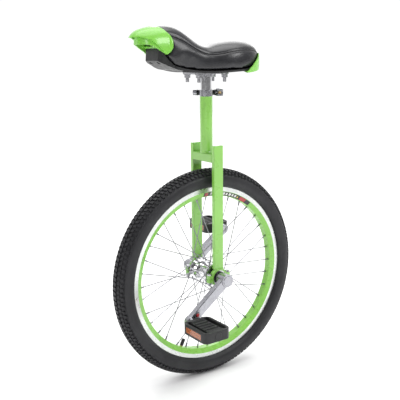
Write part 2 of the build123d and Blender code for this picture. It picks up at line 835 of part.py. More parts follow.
lever_plane = Plane(origin=lever_axis + Vector(0, 0, -0.5), x_dir=skewer_way, z_dir=(0, 0, 1))
with BuildPart() as clamp_lever:
    with BuildSketch(lever_plane):
        Circle(cam_radius)
        with BuildLine():
            outer = Spline((cam_radius, 0), (7.0, 0.45 * lever_length), (-1.5, lever_length), tangents=((0, 1), (-0.4, 1)))
            tip = Line(outer @ 1, (-6.0, lever_length - 2.0))
            inner = Spline(tip @ 1, (1.5, 0.45 * lever_length), (-2.0, 5.0), tangents=((0.5, -1), (-0.3, -1)))
            Line(inner @ 1, (0, 0))
            Line((0, 0), (cam_radius, 0))
        make_face()
    extrude(amount=clamp_height + 1.0)
    add(rod(Plane(origin=lever_axis - Vector(0, 0, 5), z_dir=(0, 0, 1)), barrel_radius + running_fit, 30),
        mode=Mode.SUBTRACT)
    swing_slot = skewer_diameter / 2 + 0.4
    with BuildSketch(Plane(origin=lever_axis + Vector(0, 0, skewer_height - swing_slot),
                           x_dir=skewer_way, z_dir=(0, 0, 1))):
        with Locations((0, swing_slot - 15.0)):
            Rectangle(40, 30)
    extrude(amount=2 * swing_slot, mode=Mode.SUBTRACT)
save(clamp_lever, "clamp_lever")

# =================================================================================================
# Seat post and saddle bracket
# =================================================================================================
plate_bottom = plate_top - plate_thickness
post_bottom = neck_top - post_inside
with BuildPart() as seat_post:
    with BuildSketch(Plane.XY.offset(post_bottom)):
        Circle(post_radius)
        Circle(post_radius - post_wall, mode=Mode.SUBTRACT)
    extrude(amount=plate_bottom - post_bottom)
save(seat_post, "seat_post")

bolt_spots = [(x * bolt_spacing_x / 2, y * bolt_spacing_y / 2) for x in (1, -1) for y in (1, -1)]
with BuildPart() as saddle_bracket:
    with BuildSketch(Plane.XY.offset(plate_bottom)):
        RectangleRounded(plate_length, plate_width, 8.0)
        with Locations(*bolt_spots):
            Circle(saddle_bolt_diameter / 2 + 0.3, mode=Mode.SUBTRACT)
    extrude(amount=plate_thickness)
    with BuildSketch(Plane.XY.offset(plate_bottom)):
        Circle(post_radius + 3.0)
        Circle(post_radius + 0.02, mode=Mode.SUBTRACT)
    extrude(amount=-6.0)
save(saddle_bracket, "saddle_bracket")

# =================================================================================================
# Saddle: base, cushion and bumpers
# =================================================================================================
# Outline of the saddle at stations along X: (x, half width, lower edge, top of the middle)
saddle_datum = 722.0  # height of the plate's top in the saddle's outlines below
saddle_lift = plate_top - saddle_datum
saddle_reach = 90.0  # beyond either side of the saddle
screw_x = 132.0
screw_y = 15.0
saddle_stations = (
    (-120, 24, 740, 766),
    (-112, 46, 733, 777),
    (-98, 61, 729, 784),
    (-70, 72, 725, 788.5),
    (-38, 74, 723, 787),
    (0, 66, 721, 779),
    (35, 55, 721, 781),
    (62, 49, 723, 799),
    (85, 45.5, 727, 814),
    (115, 43.5, 735, 821),
    (150, 42, 757, 818),
)
hood_stations = (
    (105, 44, 740, 818.5),
    (130, 43.5, 740, 818.5),
    (150, 42, 740, 816.5),
    (168, 37, 740, 812),
    (181, 28, 740, 806),
    (189, 17, 740, 799),
    (192, 8, 740, 796),
)


def arch_section(x, half_width, low, high, arch):
    """Closed section across the saddle: arched underside, bulged sides and a crowned top."""
    rise = high - low
    with BuildSketch(Plane.YZ.offset(x)) as section:
        with BuildLine():
            Spline(
                (half_width - 1.5, low),
                (half_width, low + 0.30 * rise),
                (0.93 * half_width, low + 0.66 * rise),
                (0.66 * half_width, low + 0.90 * rise),
                (0, high),
                (-0.66 * half_width, low + 0.90 * rise),
                (-0.93 * half_width, low + 0.66 * rise),
                (-half_width, low + 0.30 * rise),
                (1.5 - half_width, low),
            )
            ThreePointArc((1.5 - half_width, low), (0, low + arch), (half_width - 1.5, low))
        make_face()
    return section.sketch


def arched_body(stations, grow, lift, arch):
    """Loft through the stations, grown sideways and upwards, with its lower edge lifted."""
    middle = (stations[0][0] + stations[-1][0]) / 2
    sections = []
    for x, half_width, low, high in stations:
        reach = grow if x > middle else -grow
        shift = reach if x in (stations[0][0], stations[-1][0]) else 0
        sections.append(arch_section(x + shift, half_width + grow, saddle_lift + low + lift, saddle_lift + high + grow,
                                     arch))
    return loft(sections=sections, mode=Mode.PRIVATE)


def side_block(points):
    """Slab wider than the saddle whose side view is a closed outline."""
    with BuildPart() as slab:
        with BuildSketch(Plane(origin=(0, 0, saddle_lift), x_dir=(1, 0, 0), z_dir=(0, -1, 0))):
            with BuildLine():
                Polyline(*points, close=True)
            make_face()
        extrude(amount=saddle_reach, both=True)
    return slab.part


def at_screws(level):
    """Places of the two bumper screws at a level of the saddle's outlines."""
    return [(screw_x, way * screw_y, saddle_lift + level) for way in (1, -1)]


def hood_edge(offset):
    """Rear edge of the front bumper in side view, moved back by an offset."""
    points = ((143, 830), (128, 812), (118, 800), (113.5, 788), (115, 774), (121, 765), (128, 761))
    return [(x - offset, z) for x, z in points]


def cushion_block(lift, front_gap):
    """The cushion's own space: the whole saddle above the base, behind the front bumper and the nose."""
    front = side_block([*hood_edge(front_gap), (100 - front_gap, 726), (100, 700), (240, 700), (240, 840),
                        (143, 840)])
    return arched_body(saddle_stations, 0, lift, base_arch) - front


with BuildPart() as saddle_cushion:
    add(cushion_block(base_thickness + soft_gap, soft_gap))
save(saddle_cushion, "saddle_cushion")

# The base is a thin arched shell with a level pad for the bracket and a stout nose block.
head_seat = plate_top + 5.5
nose_top = 773.0
screw_seat = 761.0
nose_side = ((86, 727), (101, 729.5), (115, 735), (134, 743.5), (141, 748), (137.5, nose_top), (118.5, nose_top),
             (123, 765.5), (129, 761.5), (100, 745), (86, 742))
nose_plan = ((80, 41), (112, 38.5), (120, 33.5), (132, 31), (141, 24), (141, -24), (132, -31), (120, -33.5),
             (112, -38.5), (80, -41))

with BuildPart() as saddle_base:
    add(arched_body(saddle_stations, -1.0, 0, base_arch)
        & side_block(((-130, 700), (105, 700), (105, 850), (-130, 850))))
    with BuildSketch(Plane.XY.offset(plate_top)):
        RectangleRounded(plate_length, plate_width, 8.0)
    extrude(amount=base_arch + 4.0)
    with BuildSketch(Plane.XY.offset(plate_top)):
        with BuildLine():
            Polyline(*nose_plan, close=True)
        make_face()
    nose = extrude(amount=100, mode=Mode.PRIVATE) & side_block(nose_side)
    add(nose)
    add(cushion_block(base_thickness, 0), mode=Mode.SUBTRACT)
    with Locations(*[(x, y, plate_top) for x, y in bolt_spots]):
        Cylinder(saddle_bolt_diameter / 2 + 0.2, 60, mode=Mode.SUBTRACT)
    with Locations(*[(x, y, head_seat) for x, y in bolt_spots]):
        Cylinder(8.2, 20, align=(Align.CENTER, Align.CENTER, Align.MIN), mode=Mode.SUBTRACT)
    with Locations(*at_screws(screw_seat)):
        Cylinder(2.3, 60, mode=Mode.SUBTRACT)
        Cylinder(4.4, 30, align=(Align.CENTER, Align.CENTER, Align.MAX), mode=Mode.SUBTRACT)
save(saddle_base, "saddle_base")

# The front bumper is a visor over a second, shorter hood that the fingers reach into from below.
visor_edge = ((131, 762.4), (141, 773.4), (151, 781.8), (162, 789.9), (171, 793.2), (180, 795.4), (200, 794))
grip_edge = ((144, 770.2), (157, 778), (167, 780.7), (185, 781.4))
grip_stations = (
    (105, 40.5, 740, 816.5),
    (130, 40, 740, 816.5),
    (150, 38.5, 740, 814.5),
    (160, 35, 740, 811.5),
    (168, 27, 740, 807),
    (174, 16, 740, 803),
    (177, 8, 740, 801),
)


def hollow_hood(stations, wall, edge):
    """Arched hood with an open front edge underneath, closed round its nose."""
    inside = [(x - wall / 2 if x > 170 else x, half_width - wall, low, high - wall)
              for x, half_width, low, high in stations[:-1]]
    body = arched_body(stations, 0, 0, 0.1) & side_block([*hood_edge(0), *edge, (200, 830)])
    return body - arched_body(inside, 0, -5, 0.1)


floor_level = nose_top + soft_gap
with BuildPart() as front_bumper:
    add(hollow_hood(hood_stations, bumper_wall, visor_edge))
    add(hollow_hood(grip_stations, bumper_wall, grip_edge))
    add(arched_body(hood_stations, 0, 0, 0.1) & side_block(
        ((116.5, floor_level), (139, floor_level), (139, floor_level + 4), (116.5, floor_level + 4))))
    with Locations(*at_screws(floor_level)):
        Cylinder(1.9, 20, mode=Mode.SUBTRACT)
save(front_bumper, "front_bumper")

with BuildPart() as bumper_screw:
    Cylinder(2.0 - 0.15, 15.5, align=(Align.CENTER, Align.CENTER, Align.MIN))
    Cylinder(4.2, 3.0, align=(Align.CENTER, Align.CENTER, Align.MAX))
    with BuildSketch(Plane.XY.offset(-3.0)):
        Rectangle(5.0, 1.0)
        Rectangle(1.0, 5.0)
    extrude(amount=1.5, mode=Mode.SUBTRACT)
save_group([Pos(*place) * bumper_screw.part for place in at_screws(screw_seat - 0.02)],
           "front_bumper_screws")

rear_wrap = side_block(((-48, 705), (-58, 722), (-108, 762), (-140, 762), (-140, 705)))
with BuildPart() as rear_bumper:
    add(arched_body(saddle_stations, bumper_wall, -bumper_wall, base_arch) & rear_wrap)
    add(arched_body(saddle_stations, 3 * soft_gap, -3 * soft_gap, base_arch), mode=Mode.SUBTRACT)
save(rear_bumper, "rear_bumper")

with BuildPart() as saddle_bolt:
    Cylinder(saddle_bolt_diameter / 2, 27.0, align=(Align.CENTER, Align.CENTER, Align.MAX))
    with BuildSketch():
        RegularPolygon(6.5, 6, major_radius=False)
    extrude(amount=2.6)
save_group([Pos(x, y, head_seat) * saddle_bolt.part for x, y in bolt_spots], "saddle_bolts")

with BuildPart() as saddle_washer:
    with BuildSketch():
        Circle(8.5)
        Circle(saddle_bolt_diameter / 2 + 0.2, mode=Mode.SUBTRACT)
    extrude(amount=-1.5)
save_group([Pos(x, y, plate_bottom) * saddle_washer.part for x, y in bolt_spots], "saddle_washers")

with BuildPart() as saddle_nut:
    with BuildSketch():
        RegularPolygon(6.5, 6, major_radius=False)
        Circle(saddle_bolt_diameter / 2 + 0.02, mode=Mode.SUBTRACT)
    extrude(amount=-6.5)
save_group([Pos(x, y, plate_bottom - 1.5) * saddle_nut.part for x, y in bolt_spots], "saddle_nuts")
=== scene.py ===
"""Looks of a twenty-inch unicycle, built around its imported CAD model.

Metres, +X forward, +Y left, +Z up.
"""
import json
import math

import bmesh
import bpy
import numpy as np
from mathutils import Matrix, Vector
from mathutils.bvhtree import BVHTree


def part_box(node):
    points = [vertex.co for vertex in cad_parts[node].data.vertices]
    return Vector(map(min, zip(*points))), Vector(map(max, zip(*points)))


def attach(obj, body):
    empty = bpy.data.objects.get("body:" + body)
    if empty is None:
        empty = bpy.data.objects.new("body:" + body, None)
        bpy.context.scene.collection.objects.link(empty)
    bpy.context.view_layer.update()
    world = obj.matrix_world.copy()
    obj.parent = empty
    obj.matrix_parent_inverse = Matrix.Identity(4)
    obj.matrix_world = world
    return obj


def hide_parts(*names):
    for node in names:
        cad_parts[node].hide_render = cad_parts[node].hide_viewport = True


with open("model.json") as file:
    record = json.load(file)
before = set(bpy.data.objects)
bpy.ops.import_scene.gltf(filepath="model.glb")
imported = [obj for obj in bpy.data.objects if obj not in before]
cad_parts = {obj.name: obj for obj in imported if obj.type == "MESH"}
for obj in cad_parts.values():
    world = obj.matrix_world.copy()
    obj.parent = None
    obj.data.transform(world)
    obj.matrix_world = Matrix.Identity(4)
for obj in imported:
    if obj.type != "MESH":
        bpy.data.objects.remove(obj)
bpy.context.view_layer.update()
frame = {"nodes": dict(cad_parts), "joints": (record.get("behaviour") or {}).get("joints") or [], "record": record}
nodes = frame["nodes"]

MM = 0.001
AXLE = 0.253  # height of the wheel's axis


# ---- materials ---------------------------------------------------------------------------------
def shaded(name):
    """New material: itself, its node tree, its shader and the object's own coordinates."""
    made = bpy.data.materials.new(name)
    made.use_nodes = True
    tree = made.node_tree
    shader = tree.nodes["Principled BSDF"]
    place = tree.nodes.new("ShaderNodeTexCoord")
    return made, tree, shader, place.outputs["Object"]


def noise(tree, where, scale, detail=3.0):
    """Noise in the object's own space."""
    made = tree.nodes.new("ShaderNodeTexNoise")
    made.inputs["Scale"].default_value = scale
    made.inputs["Detail"].default_value = detail
    tree.links.new(where, made.inputs["Vector"])
    return made.outputs["Fac"]


def spread(tree, value, low, high, start=0.3, end=0.7):
    """Map a texture's middle range onto low to high."""
    made = tree.nodes.new("ShaderNodeMapRange")
    made.inputs["From Min"].default_value = start
    made.inputs["From Max"].default_value = end
    made.inputs["To Min"].default_value = low
    made.inputs["To Max"].default_value = high
    tree.links.new(value, made.inputs["Value"])
    return made.outputs["Result"]


def mixed(tree, share, first, second):
    """Colour between two colours or sockets."""
    made = tree.nodes.new("ShaderNodeMix")
    made.data_type = "RGBA"
    tree.links.new(share, made.inputs["Factor"])
    for socket, value in ((made.inputs[6], first), (made.inputs[7], second)):
        if isinstance(value, tuple):
            socket.default_value = (*value, 1)
        else:
            tree.links.new(value, socket)
    return made.outputs[2]


def maths(tree, kind, first, second=0.0):
    """One step of arithmetic on sockets or numbers."""
    made = tree.nodes.new("ShaderNodeMath")
    made.operation = kind
    for socket, value in zip(made.inputs, (first, second)):
        if isinstance(value, (int, float)):
            socket.default_value = value
        else:
            tree.links.new(value, socket)
    return made.outputs[0]


def bumped(tree, shader, height, depth, rounding=0.0):
    """Relief of a depth in metres on the shader's normal, over edges rounded by a radius."""
    made = tree.nodes.new("ShaderNodeBump")
    made.inputs["Strength"].default_value = 1.0
    made.inputs["Distance"].default_value = depth
    tree.links.new(height, made.inputs["Height"])
    if rounding:
        edge = tree.nodes.new("ShaderNodeBevel")
        edge.samples = 4
        edge.inputs["Radius"].default_value = rounding
        tree.links.new(edge.outputs["Normal"], made.inputs["Normal"])
    tree.links.new(made.outputs["Normal"], shader.inputs["Normal"])


def tinted(colour, share):
    """Colour made lighter or darker by a factor."""
    return tuple(min(1.0, c * share) for c in colour)


SMEAR_SCALE = 2.7  # the gloss varies this much more finely than the colour


def finish_of(name, colour, rough, metal=0.0, coat=0.0, vary=0.12, scale=45.0, grain=900.0,
              depth=0.00003, rough_spread=0.08, rounding=0.0005, specular=0.5):
    """Material with mottled colour, uneven gloss and a fine relief over rounded edges."""
    made, tree, shader, place = shaded(name)
    tone = spread(tree, noise(tree, place, scale), 0.0, 1.0)
    mottled = mixed(tree, tone, tinted(colour, 1 - vary), tinted(colour, 1 + vary))
    tree.links.new(mottled, shader.inputs["Base Color"])
    smear = noise(tree, place, scale * SMEAR_SCALE, 5.0)
    gloss = spread(tree, smear, rough - rough_spread, rough + rough_spread)
    tree.links.new(gloss, shader.inputs["Roughness"])
    bumped(tree, shader, noise(tree, place, grain, 2.0), depth, rounding)
    shader.inputs["Metallic"].default_value = metal
    shader.inputs["Coat Weight"].default_value = coat
    shader.inputs["Coat Roughness"].default_value = 0.06
    shader.inputs["Specular IOR Level"].default_value = specular
    return made


GREEN = (0.25, 0.57, 0.095)
BRIGHT_GREEN = (0.225, 0.60, 0.075)

enamel = finish_of("green_enamel", GREEN, 0.30, coat=0.7, vary=0.04, scale=14, grain=420,
                   depth=0.000008, rough_spread=0.05, rounding=0.0008)
chrome = finish_of("chrome_plate", (0.74, 0.74, 0.76), 0.12, metal=1.0, vary=0.03,
                   rough_spread=0.04, grain=300, depth=0.00001)
steel = finish_of("zinc_steel", (0.44, 0.44, 0.46), 0.28, metal=1.0, vary=0.10, scale=160,
                  grain=1500)
spoke_steel = finish_of("spoke_steel", (0.28, 0.28, 0.30), 0.30, metal=1.0, vary=0.08, scale=90,
                        rounding=0.0)
ground_steel = finish_of("ground_steel", (0.58, 0.58, 0.60), 0.18, metal=1.0, vary=0.05, scale=200)
alloy = finish_of("forged_alloy", (0.38, 0.38, 0.41), 0.24, metal=1.0, vary=0.07, scale=60,
                  grain=1300, rounding=0.0012)
brass = finish_of("brass", (0.70, 0.52, 0.25), 0.30, metal=1.0, vary=0.10, scale=150)
plastic = finish_of("moulded_black", (0.010, 0.010, 0.011), 0.45, vary=0.2, scale=60, grain=1700,
                    depth=0.00006, rough_spread=0.09, rounding=0.0008)
rubber = finish_of("plain_rubber", (0.018, 0.018, 0.018), 0.65, vary=0.2, grain=1200,
                   depth=0.00005)
green_plastic = finish_of("green_moulding", BRIGHT_GREEN, 0.26, coat=0.35, vary=0.04, scale=18,
                          grain=500, rough_spread=0.05, rounding=0.0012)


PRISMS = 420  # cells per metre, across the reflector


def amber_lens():
    """Amber reflector with moulded prisms under a clear face."""
    made, tree, shader, place = shaded("amber_lens")
    cells = tree.nodes.new("ShaderNodeTexVoronoi")
    cells.inputs["Scale"].default_value = PRISMS
    tree.links.new(place, cells.inputs["Vector"])
    tone = spread(tree, cells.outputs["Distance"], 0.0, 1.0, 0.0, 0.6)
    amber_tone = mixed(tree, tone, (0.62, 0.17, 0.015), (0.30, 0.06, 0.004))
    tree.links.new(amber_tone, shader.inputs["Base Color"])
    tree.links.new(spread(tree, noise(tree, place, 300), 0.08, 0.2), shader.inputs["Roughness"])
    bumped(tree, shader, cells.outputs["Distance"], 0.0004)
    shader.inputs["Coat Weight"].default_value = 1.0
    shader.inputs["Coat Roughness"].default_value = 0.04
    return made


BARE_FROM = 0.1996  # radius where the rim's paint ends and its bare brake band begins
TURNING_MARKS = 3500  # rings per metre left by the lathe


def rim_finish():
    """Bare machined brake band outside, green enamel on the inner part of the rim."""
    made, tree, shader, place = shaded("rim_finish")
    parts = tree.nodes.new("ShaderNodeSeparateXYZ")
    tree.links.new(place, parts.inputs[0])
    up = maths(tree, "SUBTRACT", parts.outputs[2], AXLE)
    forward = parts.outputs[0]
    squares = maths(tree, "ADD", maths(tree, "MULTIPLY", forward, forward),
                    maths(tree, "MULTIPLY", up, up))
    radius = maths(tree, "SQRT", squares)
    bare = maths(tree, "GREATER_THAN", radius, BARE_FROM)
    rings = tree.nodes.new("ShaderNodeTexNoise")
    rings.noise_dimensions = "1D"
    rings.inputs["Scale"].default_value = TURNING_MARKS
    rings.inputs["Detail"].default_value = 2
    tree.links.new(radius, rings.inputs["W"])
    tone = spread(tree, noise(tree, place, 30), 0.0, 1.0)
    metal = mixed(tree, tone, (0.62, 0.64, 0.63), (0.72, 0.74, 0.72))
    paint = mixed(tree, tone, tinted(GREEN, 0.94), tinted(GREEN, 1.05))
    tree.links.new(mixed(tree, bare, paint, metal), shader.inputs["Base Color"])
    tree.links.new(bare, shader.inputs["Metallic"])
    tree.links.new(spread(tree, noise(tree, place, 120), 0.24, 0.36), shader.inputs["Roughness"])
    bumped(tree, shader, maths(tree, "MULTIPLY", rings.outputs["Fac"], bare), 0.00003, 0.0004)
    shader.inputs["Coat Weight"].default_value = 0.25
    return made


def tyre_finish():
    """Moulded tyre rubber, paler and smoother in patches."""
    made, tree, shader, place = shaded("tyre_rubber")
    patches = spread(tree, noise(tree, place, 22, 4.0), 0.0, 1.0)
    dusty = mixed(tree, patches, (0.010, 0.010, 0.012), (0.019, 0.019, 0.022))
    tree.links.new(dusty, shader.inputs["Base Color"])
    gloss = spread(tree, noise(tree, place, 140, 4.0), 0.40, 0.58)
    tree.links.new(gloss, shader.inputs["Roughness"])
    bumped(tree, shader, noise(tree, place, 1400, 3.0), 0.00008)
    shader.inputs["Specular IOR Level"].default_value = 0.4
    return made


VINYL_GRAIN = 760  # cells per metre of the pressed grain
VINYL_CREASES = 220  # scale of the broader unevenness under it


def vinyl_finish():
    """Soft black vinyl with a fine pressed grain."""
    made, tree, shader, place = shaded("saddle_vinyl")
    grain = tree.nodes.new("ShaderNodeTexVoronoi")
    grain.inputs["Scale"].default_value = VINYL_GRAIN
    tree.links.new(place, grain.inputs["Vector"])
    height = maths(tree, "ADD", maths(tree, "MULTIPLY", grain.outputs["Distance"], 0.6),
                   maths(tree, "MULTIPLY", noise(tree, place, VINYL_CREASES, 4.0), 0.9))
    tone = spread(tree, noise(tree, place, 26, 4.0), 0.0, 1.0)
    black = mixed(tree, tone, (0.008, 0.008, 0.010), (0.014, 0.014, 0.018))
    tree.links.new(black, shader.inputs["Base Color"])
    tree.links.new(spread(tree, noise(tree, place, 30), 0.30, 0.36), shader.inputs["Roughness"])
    bumped(tree, shader, height, 0.00005)
    shader.inputs["Coat Weight"].default_value = 0.25
    shader.inputs["Coat Roughness"].default_value = 0.25
    return made


tyre_rubber = tyre_finish()
vinyl = vinyl_finish()

FINISHES = {
    "frame_green": enamel, "rim_metal": rim_finish(), "chrome": chrome, "steel": steel,
    "alloy": alloy, "bearing_steel": ground_steel, "tyre_rubber": tyre_rubber,
    "soft_rubber": rubber, "black_plastic": plastic, "green_plastic": green_plastic,
    "amber": amber_lens(), "vinyl": vinyl, "brass": brass,
}
# Nodes that look different from the rest of their slot.
SPECIAL = {"left_spokes": spoke_steel, "right_spokes": spoke_steel, "spoke_nipples": spoke_steel}
for row in frame["record"]["subparts"]:
    node = nodes[row["node"]]
    node.data.materials.clear()
    node.data.materials.append(SPECIAL.get(row["node"]) or FINISHES[row["material_slot"]])


# ---- helpers for new pieces --------------------------------------------------------------------
def piece(name, points, faces, material, smooth=30.0):
    """New mesh object, smooth except across edges sharper than an angle in degrees."""
    mesh = bpy.data.meshes.new(name)
    mesh.from_pydata([tuple(p) for p in points], [], faces)
    mesh.update()
    for polygon in mesh.polygons:
        polygon.use_smooth = True
    mesh.set_sharp_from_angle(angle=math.radians(smooth))
    mesh.materials.append(material)
    made = bpy.data.objects.new(name, mesh)
    bpy.context.scene.collection.objects.link(made)
    return made


def outward(obj):
    """Turn every face of a mesh outwards."""
    tidy = bmesh.new()
    tidy.from_mesh(obj.data)
    bmesh.ops.recalc_face_normals(tidy, faces=tidy.faces)
    tidy.to_mesh(obj.data)
    tidy.free()


def wheel_point(radius, turn, y):
    """Point at a radius and an angle in radians about the axle."""
    return (radius * math.cos(turn), y, AXLE + radius * math.sin(turn))


def prism(points, faces, low, high):
    """Closed prism between two rings of as many points."""
    start = len(points)
    count = len(low)
    points.extend(low)
    points.extend(high)
    faces.append([start + i for i in range(count)][::-1])
    faces.append([start + count + i for i in range(count)])
    for i in range(count):
        after = (i + 1) % count
        faces.append([start + i, start + after, start + count + after, start + count + i])


# ---- tyre: carcass with moulded tread blocks ---------------------------------------------------
CASING_CENTRE = 0.227
CASING_RADIUS = 0.025
CROWN_RADIUS = 0.026
TREAD_RADIUS = 0.253
INNER_RADIUS = 0.0214  # inside face of the casing
BLOCK_DEPTH = 0.0030
CARCASS_DROP = 0.0003  # the carcass lies this much below the blocks' floor
PITCHES = 144
AROUND = 288  # steps of the carcass round the wheel
SHOULDER = 45  # degrees across the tread where its crown ends
FADE_FROM, FADE_OVER = 54, 14  # degrees where the floor between blocks rises to the sidewall
RIDGES = (74, 117)  # degrees of the two moulded rings on the sidewall
RIDGE_HEIGHT = 0.0005
RIDGE_WIDTH = 1.3  # degrees
# Bead, as (radius, y): round the rim's hook from outside to inside.
BEAD = ((0.2097, 0.0130), (0.2097, 0.0120), (0.2032, 0.0120), (0.2032, 0.0072), (0.2086, 0.0082))


def tread_top(angle):
    """Distance from the casing's centre to the tops of the blocks."""
    share = min(1.0, abs(angle) / math.radians(SHOULDER))
    return CROWN_RADIUS - (CROWN_RADIUS - CASING_RADIUS) * share * share


def carcass(angle):
    """Distance from the casing's centre to the floor between blocks and to the bare sidewall."""
    degrees = math.degrees(abs(angle))
    fade = min(1.0, max(0.0, (degrees - FADE_FROM) / FADE_OVER))
    floor_depth = BLOCK_DEPTH * (1 - fade * fade * (3 - 2 * fade))
    reach = tread_top(angle) - floor_depth - CARCASS_DROP
    for ridge in RIDGES:
        reach += RIDGE_HEIGHT * math.exp(-((degrees - ridge) / RIDGE_WIDTH) ** 2)
    return reach


def tyre_profile():
    """Closed outline as (radius, y): over the tread, one bead, back inside, the other bead."""
    outline = []
    for degrees in np.arange(-127.0, 127.1, 2.0):
        angle = math.radians(degrees)
        reach = carcass(angle)
        outline.append((CASING_CENTRE + reach * math.cos(angle), reach * math.sin(angle)))
    outline += BEAD
    for degrees in np.arange(122.0, -122.1, -8.0):
        angle = math.radians(degrees)
        outline.append((CASING_CENTRE + INNER_RADIUS * math.cos(angle),
                        INNER_RADIUS * math.sin(angle)))
    outline += [(radius, -y) for radius, y in reversed(BEAD)]
    return outline


def tread_point(along, across, height):
    """Point on the tread, in mm round the wheel and across it.

    Height is 0 at the floor between blocks and 1 at their tops.
    """
    angle = across * MM / CASING_RADIUS
    reach = tread_top(angle) - BLOCK_DEPTH * (1 - height)
    turn = along * MM / TREAD_RADIUS
    return wheel_point(CASING_CENTRE + reach * math.cos(angle), turn, reach * math.sin(angle))


# Outlines of the blocks in mm, as (along, across).
CENTRE_BLOCK = ((-5.0, -6.6), (-3.6, -3.0), (-2.5, 0), (-3.6, 3.0), (-5.0, 6.6),
                (2.9, 6.6), (4.4, 3.0), (5.6, 0), (4.4, -3.0), (2.9, -6.6))
SIDE_BLOCK = ((-4.4, 8.4), (-2.9, 12.0), (-1.6, 15.4), (5.0, 15.4), (3.7, 12.0), (2.2, 8.4))
SHOULDER_BLOCK = ((-2.9, 17.2), (-3.3, 20.8), (-3.0, 24.8), (3.2, 24.8), (3.6, 20.8), (3.1, 17.2))
SHORT_SHOULDER = ((-2.6, 17.2), (-2.9, 20.0), (-2.4, 22.6), (2.6, 22.6), (3.2, 20.0), (2.9, 17.2))
FIN = ((-0.9, 25.4), (-0.8, 27.6), (-0.7, 30.0), (0.7, 30.0), (0.8, 27.6), (0.9, 25.4))
BLOCK_FOOT = (-0.35, 1.0)  # height, and share of the outline
BLOCK_EDGE = (-0.12, 0.93)  # below the block's top
BLOCK_TOP_SHARE = 0.84


def add_block(points, faces, outline, along, side, height=1.0):
    """One tread block with drafted walls, its foot sunk in the carcass."""
    middle = np.mean(np.array(outline), axis=0)
    rows = []
    edge = (height + BLOCK_EDGE[0], BLOCK_EDGE[1])
    for level, share in (BLOCK_FOOT, edge, (height, BLOCK_TOP_SHARE)):
        ring = []
        for t, s in outline:
            at = middle + (np.array((t, s)) - middle) * share
            ring.append(tread_point(along + at[0], side * at[1], level))
        rows.append(ring if side > 0 else ring[::-1])
    start = len(points)
    count = len(outline)
    for ring in rows:
        points.extend(ring)
    faces.append([start + i for i in range(count)])
    faces.append([start + 2 * count + i for i in range(count)][::-1])
    for row in (0, 1):
        for i in range(count):
            after = (i + 1) % count
            low = start + row * count
            faces.append([low + i, low + count + i, low + count + after, low + after])


def build_tyre():
    """Carcass and tread blocks in one mesh."""
    outline = tyre_profile()
    points = []
    faces = []
    for step in range(AROUND):
        turn = 2 * math.pi * step / AROUND
        for radius, y in outline:
            points.append(wheel_point(radius, turn, y))
    count = len(outline)
    for step in range(AROUND):
        here = step * count
        after = (step + 1) % AROUND * count
        for i in range(count):
            j = (i + 1) % count
            faces.append([here + i, here + j, after + j, after + i])
    pitch = 2 * math.pi * TREAD_RADIUS / MM / PITCHES
    for number in range(PITCHES):
        along = number * pitch
        add_block(points, faces, CENTRE_BLOCK, along, 1)
        for side in (1, -1):
            add_block(points, faces, SIDE_BLOCK, along + pitch * 0.42, side)
            shoulder = SHOULDER_BLOCK if number % 2 else SHORT_SHOULDER
            add_block(points, faces, shoulder, along, side)
            add_block(points, faces, FIN, along + pitch * 0.5, side, 0.97)
    made = piece("tyre_moulded", points, faces, tyre_rubber, 35)
    outward(made)
    return made


tyre = build_tyre()
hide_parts("tyre")
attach(tyre, "wheel")


# ---- saddle cushion: padded, with a piped seam -------------------------------------------------
VOXEL = 0.004
DRAWN_IN = 0.0010  # the foam starts this much smaller than the CAD cushion
SWELL_CAP = 0.0026  # furthest that the stuffing may push any point
PRESSURE = 4.0
CLOTH_FRAMES = 20
SEAM_DEPTH = 0.0016
SEAM_WIDTH = 0.0035
PIPING_RADIUS = 0.0011
PIPING_SINK = 0.0008


def copy_of(node, name):
    """New object with a copy of a CAD node's mesh."""
    made = bpy.data.objects.new(name, nodes[node].data.copy())
    bpy.context.scene.collection.objects.link(made)
    return made


def apply_modifiers(obj):
    """Keep what the object's modifiers make of its mesh, and drop them."""
    graph = bpy.context.evaluated_depsgraph_get()
    mesh = bpy.data.meshes.new_from_object(obj.evaluated_get(graph))
    obj.modifiers.clear()
    obj.data = mesh


def modify(obj, kind, **settings):
    """Add one modifier and apply it."""
    step = obj.modifiers.new(kind.title(), kind)
    for key, value in settings.items():
        setattr(step, key, value)
    apply_modifiers(obj)


def per_vertex(obj, attribute):
    """A vector of each vertex, as rows: its place, co, or its normal."""
    found = np.empty(len(obj.data.vertices) * 3)
    obj.data.vertices.foreach_get(attribute, found)
    return found.reshape(-1, 3)


def set_coordinates(obj, points):
    """Move the vertices to new places."""
    obj.data.vertices.foreach_set("co", np.ascontiguousarray(points).ravel())
    obj.data.update()


def swell(obj, shrink, cap):
    """Stuff the mesh: pull its skin in, blow it up as cloth and cap how far any point moves."""
    set_coordinates(obj, per_vertex(obj, "co") - per_vertex(obj, "normal") * shrink)
    start = per_vertex(obj, "co")
    cloth = obj.modifiers.new("Cloth", "CLOTH")
    cloth.settings.use_pressure = True
    cloth.settings.uniform_pressure_force = PRESSURE
    cloth.settings.effector_weights.gravity = 0.0
    cloth.settings.quality = 5
    cloth.collision_settings.use_collision = False
    cloth.point_cache.frame_start = 1
    cloth.point_cache.frame_end = CLOTH_FRAMES
    scene = bpy.context.scene
    for number in range(1, CLOTH_FRAMES + 1):
        scene.frame_set(number)
    apply_modifiers(obj)
    scene.frame_set(1)
    moved = per_vertex(obj, "co") - start
    length = np.maximum(np.linalg.norm(moved, axis=1, keepdims=True), 1e-9)
    set_coordinates(obj, start + moved * np.minimum(1.0, cap / length))


